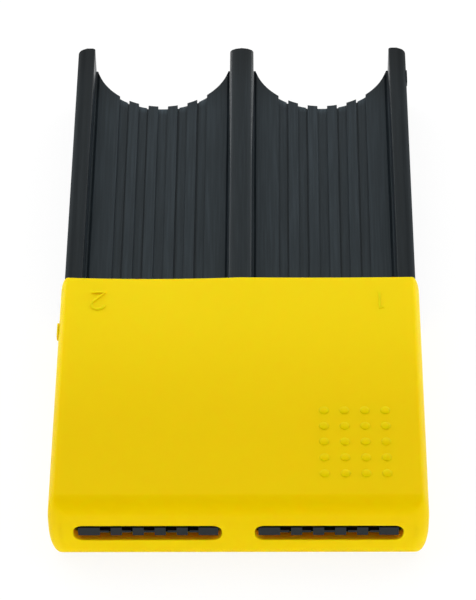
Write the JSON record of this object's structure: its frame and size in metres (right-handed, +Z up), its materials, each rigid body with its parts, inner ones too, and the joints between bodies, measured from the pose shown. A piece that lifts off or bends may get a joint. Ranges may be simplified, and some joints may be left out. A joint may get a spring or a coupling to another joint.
{
  "type": "reed guard",
  "caption": "Flat two-sided holder for woodwind reeds: a ribbed tray with reed channels between rails, and a slotted cap that slides over its closed end.",
  "frame": {"origin": "on the surface that the cap rests on, under the middle of the closed guard", "axes": "+X across the channels, +Y from the cap's closed end to the open ends of the rails, +Z up through the tray's thickness"},
  "size_m": [0.042, 0.0746, 0.0093],
  "materials": {
    "black_plastic": "satin moulded polystyrene, blue-black",
    "yellow_plastic": "satin moulded polystyrene, bright yellow"
  },
  "bodies": {
    "tray": {"reed_tray": "black_plastic"},
    "cap": {"slide_cap": "yellow_plastic"}
  },
  "joints": [
    {"name": "cap_slide", "type": "slide", "parent": "tray", "child": "cap", "axis": [0, -1, 0], "range_m": [0, 0.04]}
  ]
}
